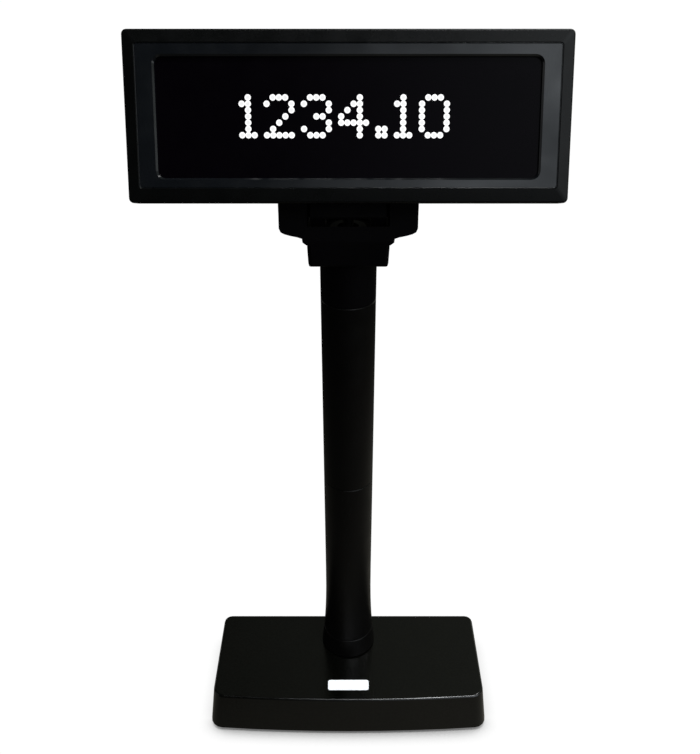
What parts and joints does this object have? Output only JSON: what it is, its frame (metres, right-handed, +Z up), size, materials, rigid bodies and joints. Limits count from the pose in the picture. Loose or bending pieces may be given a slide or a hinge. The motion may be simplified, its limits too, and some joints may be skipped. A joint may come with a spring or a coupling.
{
  "type": "customer pole display",
  "caption": "Customer-facing dot-matrix display head that tilts and swivels on a slim pole over a weighted rectangular base.",
  "frame": {"origin": "on the floor, in the middle of the whole display's bounding box", "axes": "+Z up along the pole, -Y the way the display faces, +X the viewer's right"},
  "size_m": [0.22, 0.0985, 0.4583],
  "materials": {
    "housing_black": "fine spark-eroded satin",
    "base_black": "fine grain, semi-gloss",
    "gloss_frame": "polished",
    "dark_window": "polished smoked acrylic, seen as opaque",
    "rubber_foot": "matte",
    "steel": "zinc-plated",
    "ballast": "as cast, blackened",
    "brass": "turned",
    "circuit_board": "solder mask",
    "display_glass": "grey glass envelope",
    "nylon": "natural",
    "cable": "smooth jacket",
    "socket": "plain",
    "badge": "satin, blank"
  },
  "bodies": {
    "base": {"badge": "badge", "ballast_plate": "ballast", "base_cover": "base_black", "base_plate": "base_black", "base_screw_front_left": "steel", "base_screw_front_right": "steel", "base_screw_rear_left": "steel", "base_screw_rear_right": "steel", "board_screw_left": "steel", "board_screw_right": "steel", "data_socket": "socket", "foot_front_left": "rubber_foot", "foot_front_right": "rubber_foot", "foot_rear_left": "rubber_foot", "foot_rear_right": "rubber_foot", "harness_plug": "nylon", "harness_pole": "cable", "interface_board": "circuit_board", "lower_tube": "housing_black", "pole_foot": "housing_black", "pole_mount_plate": "steel", "pole_neck": "housing_black", "pole_screw_1": "steel", "pole_screw_2": "steel", "pole_screw_3": "steel", "power_jack": "socket", "swivel_retainer": "steel", "upper_tube": "housing_black"},
    "swivel": {"yoke": "housing_black", "pivot_bolt_left": "steel", "pivot_bolt_right": "steel", "pivot_cap_left": "housing_black", "pivot_cap_right": "housing_black", "swivel_washer": "nylon", "swivel_spring_washer": "steel", "harness_yoke": "cable"},
    "head": {"board_post_left": "brass", "board_post_right": "brass", "bracket_screw_left": "steel", "bracket_screw_right": "steel", "friction_washer_left": "steel", "friction_washer_right": "steel", "housing_screw_high_left": "steel", "housing_screw_high_right": "steel", "housing_screw_low_left": "steel", "housing_screw_low_right": "steel", "pivot_nut_left": "steel", "pivot_nut_right": "steel", "hinge_bracket": "housing_black", "front_bezel": "housing_black", "window_frame": "gloss_frame", "filter_lens": "dark_window", "display_glass": "display_glass", "display_board": "circuit_board", "rear_housing": "housing_black", "controller_board": "circuit_board", "head_plug": "nylon", "ribbon_cable": "cable", "harness_head": "cable"}
  },
  "joints": [
    {"name": "head_swivel", "type": "hinge", "parent": "base", "child": "swivel", "pos_m": [0, 0.01344, 0.35], "axis": [0, 0, 1], "range_deg": [-170, 170]},
    {"name": "head_tilt", "type": "hinge", "parent": "swivel", "child": "head", "pos_m": [0, 0.01344, 0.372], "axis": [-1, 0, 0], "range_deg": [-21, 24]}
  ]
}
